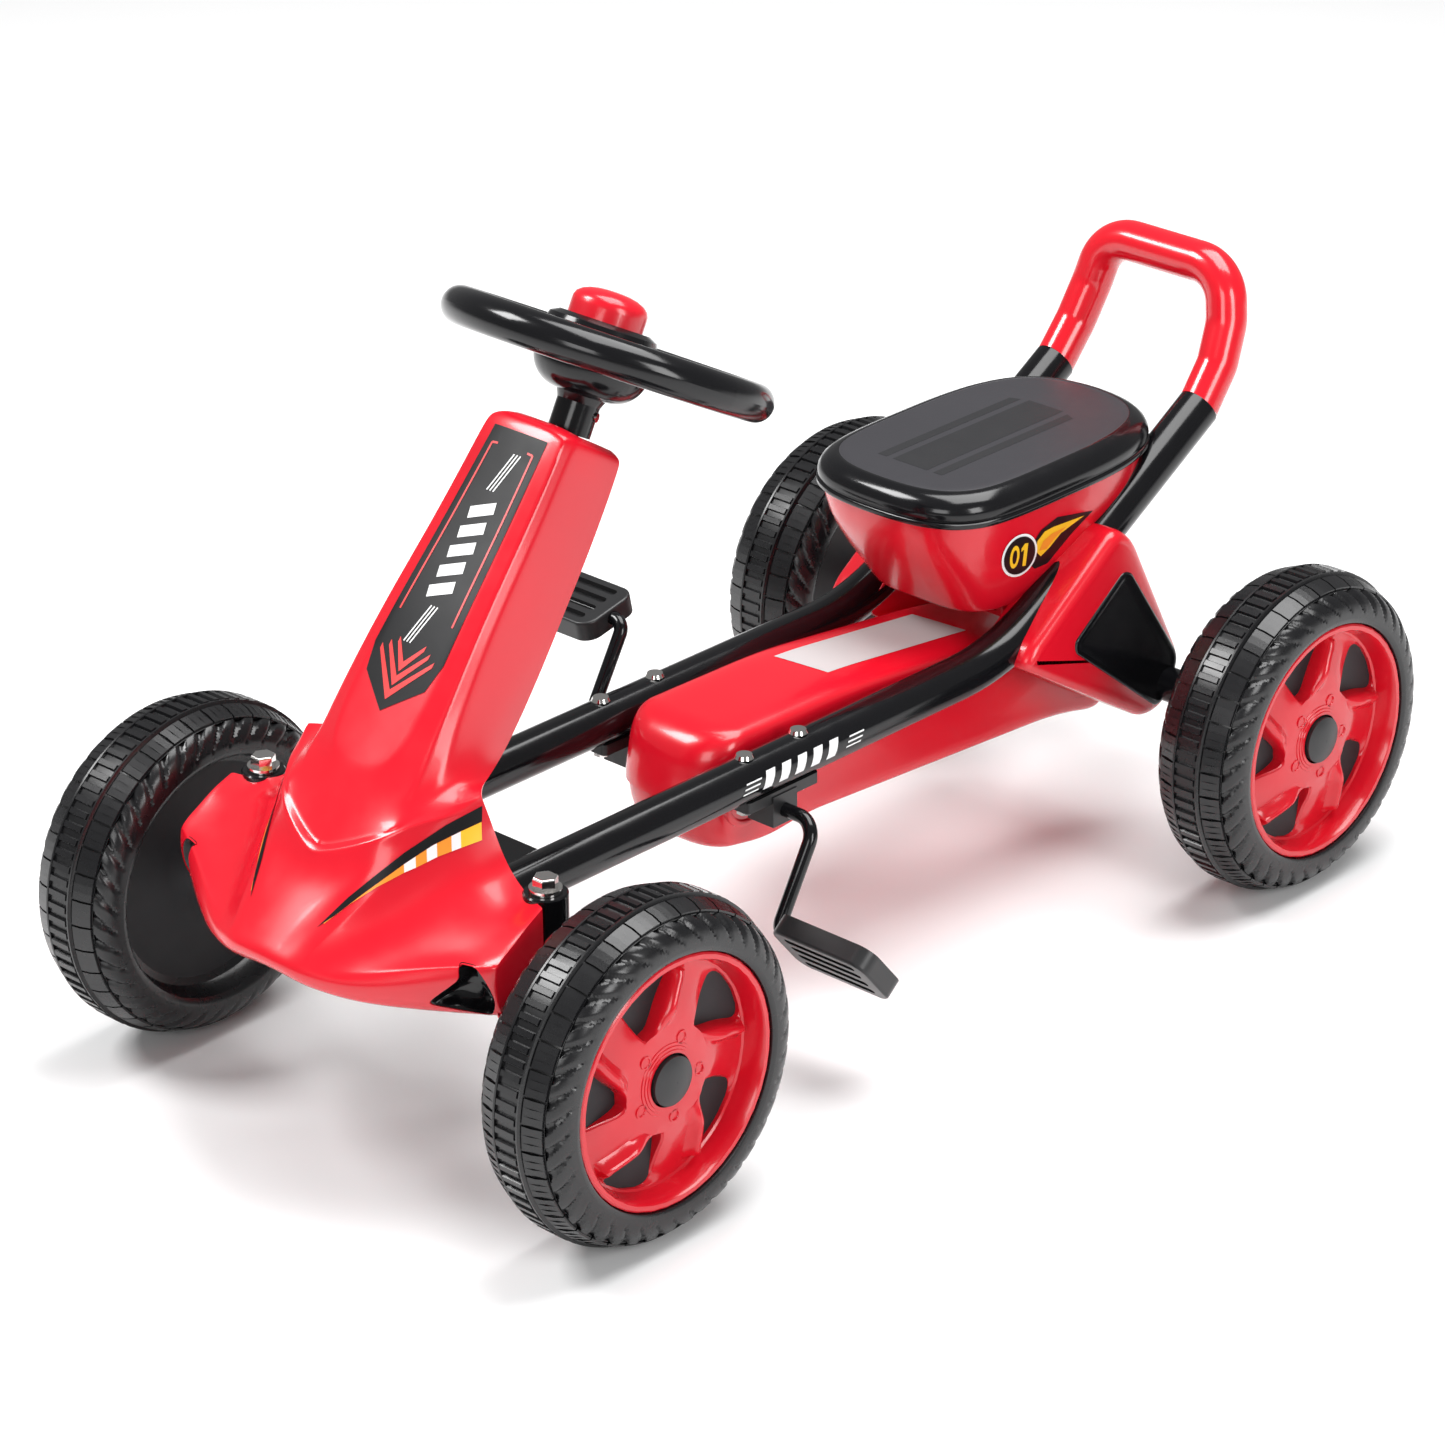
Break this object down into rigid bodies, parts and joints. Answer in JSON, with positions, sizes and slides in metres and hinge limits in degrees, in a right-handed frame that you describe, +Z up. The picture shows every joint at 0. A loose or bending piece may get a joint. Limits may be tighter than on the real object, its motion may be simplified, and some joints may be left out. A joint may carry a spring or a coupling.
{
  "type": "pedal go kart",
  "caption": "Child's chain-driven pedal kart with plastic wheels, steered front axle, wedge cowl, moulded seat and tubular backrest hoop.",
  "frame": {"origin": "on the ground, under the middle of the whole kart", "axes": "+Z up, the kart drives towards -Y, +X is the driver's left"},
  "size_m": [0.4998, 0.9324, 0.5529],
  "materials": {
    "gloss_black_metal": "gloss",
    "red_metal": "gloss",
    "red_plastic": "gloss",
    "black_gloss_plastic": "gloss",
    "black_matte_plastic": "satin",
    "wheel_plastic": "satin",
    "bright_steel": "polished",
    "chain_steel": "oiled"
  },
  "bodies": {
    "chassis": {"side_tube_left": "gloss_black_metal", "side_tube_right": "gloss_black_metal", "front_axle_beam": "gloss_black_metal", "kingpin_sleeve_left": "gloss_black_metal", "kingpin_sleeve_right": "gloss_black_metal", "front_cross_plate": "gloss_black_metal", "axle_sleeve_left": "gloss_black_metal", "axle_sleeve_right": "gloss_black_metal", "rear_bracket_left": "gloss_black_metal", "rear_bracket_right": "gloss_black_metal", "seat_cross_plate": "gloss_black_metal", "backrest_hoop": "red_metal", "seat_bracket": "red_plastic", "front_cowl": "red_plastic", "chain_cover_top": "red_plastic", "chain_cover_bottom": "red_plastic", "rear_cover_left": "red_plastic", "rear_cover_right": "red_plastic", "seat_base": "red_plastic", "seat_lid": "black_gloss_plastic", "vent_insert_left": "black_matte_plastic", "vent_insert_right": "black_matte_plastic", "rear_panel_left": "black_matte_plastic", "rear_panel_right": "black_matte_plastic", "crank_block_left": "black_matte_plastic", "crank_block_right": "black_matte_plastic", "column_bush": "black_matte_plastic", "lower_column_bush": "black_matte_plastic", "crank_block_screws": "bright_steel", "seat_bolts": "bright_steel", "chain": "chain_steel"},
    "steering": {"steering_column": "gloss_black_metal", "wheel_shell_upper": "black_gloss_plastic", "wheel_shell_lower": "black_gloss_plastic", "sleeve_screw": "bright_steel"},
    "horn": {"horn_button": "red_plastic"},
    "left_knuckle": {"knuckle_left": "gloss_black_metal", "kingpin_left": "bright_steel"},
    "right_knuckle": {"knuckle_right": "gloss_black_metal", "kingpin_right": "bright_steel"},
    "tie_rod": {"tie_bar": "gloss_black_metal"},
    "front_left_wheel": {"front_left_tyre": "wheel_plastic", "front_left_rim": "red_plastic", "front_left_cap": "black_matte_plastic"},
    "front_right_wheel": {"front_right_tyre": "wheel_plastic", "front_right_rim": "red_plastic", "front_right_cap": "black_matte_plastic"},
    "axle_and_driven_wheel": {"rear_axle": "bright_steel", "rear_sprocket": "chain_steel", "rear_left_tyre": "wheel_plastic", "rear_left_rim": "red_plastic", "rear_left_cap": "black_matte_plastic"},
    "rear_right_wheel": {"rear_right_tyre": "wheel_plastic", "rear_right_rim": "red_plastic", "rear_right_cap": "black_matte_plastic"},
    "crank": {"pedal_crank": "gloss_black_metal", "chainring": "chain_steel"},
    "left_pedal": {"pedal_left": "black_matte_plastic"},
    "right_pedal": {"pedal_right": "black_matte_plastic"}
  },
  "joints": [
    {"name": "steering_turn", "type": "hinge", "parent": "chassis", "child": "steering", "pos_m": [0, -0.148, 0.498], "axis": [0, 0.4695, 0.8829], "range_deg": [-22, 22]},
    {"name": "horn_press", "type": "slide", "parent": "steering", "child": "horn", "axis": [0, -0.4695, -0.8829], "range_m": [0, 0.003], "stiffness_N_per_m": 1500, "springref_m": -0.001},
    {"name": "left_knuckle_turn", "type": "hinge", "parent": "chassis", "child": "left_knuckle", "pos_m": [0.133, -0.336, 0.12], "axis": [0, 0, 1], "range_deg": [-22, 22]},
    {"name": "right_knuckle_turn", "type": "hinge", "parent": "chassis", "child": "right_knuckle", "pos_m": [-0.133, -0.336, 0.12], "axis": [0, 0, 1], "range_deg": [-22, 22]},
    {"name": "tie_bar_swing", "type": "hinge", "parent": "left_knuckle", "child": "tie_rod", "pos_m": [0.133, -0.286, 0.1314], "axis": [0, 0, 1], "range_deg": [-22, 22]},
    {"name": "front_left_spin", "type": "hinge", "parent": "left_knuckle", "child": "front_left_wheel", "pos_m": [0.213, -0.336, 0.12], "axis": [1, 0, 0], "continuous": true},
    {"name": "front_right_spin", "type": "hinge", "parent": "right_knuckle", "child": "front_right_wheel", "pos_m": [-0.213, -0.336, 0.12], "axis": [1, 0, 0], "continuous": true},
    {"name": "crank_spin", "type": "hinge", "parent": "chassis", "child": "crank", "pos_m": [0, -0.0525, 0.155], "axis": [1, 0, 0], "continuous": true},
    {"name": "left_pedal_spin", "type": "hinge", "parent": "crank", "child": "left_pedal", "pos_m": [0.165, -0.0925, 0.08572], "axis": [1, 0, 0], "continuous": true},
    {"name": "right_pedal_spin", "type": "hinge", "parent": "crank", "child": "right_pedal", "pos_m": [-0.165, -0.0125, 0.22428], "axis": [1, 0, 0], "continuous": true},
    {"name": "rear_axle_spin", "type": "hinge", "parent": "chassis", "child": "axle_and_driven_wheel", "pos_m": [0, 0.344, 0.12], "axis": [1, 0, 0], "continuous": true},
    {"name": "rear_right_spin", "type": "hinge", "parent": "axle_and_driven_wheel", "child": "rear_right_wheel", "pos_m": [-0.2087, 0.344, 0.12], "axis": [1, 0, 0], "continuous": true}
  ],
  "couplings": [
    {"joint": "left_knuckle_turn", "follows": "steering_turn", "ratio": 1},
    {"joint": "right_knuckle_turn", "follows": "steering_turn", "ratio": 1},
    {"joint": "tie_bar_swing", "follows": "steering_turn", "ratio": -1},
    {"joint": "crank_spin", "follows": "rear_axle_spin", "ratio": 0.57143}
  ]
}
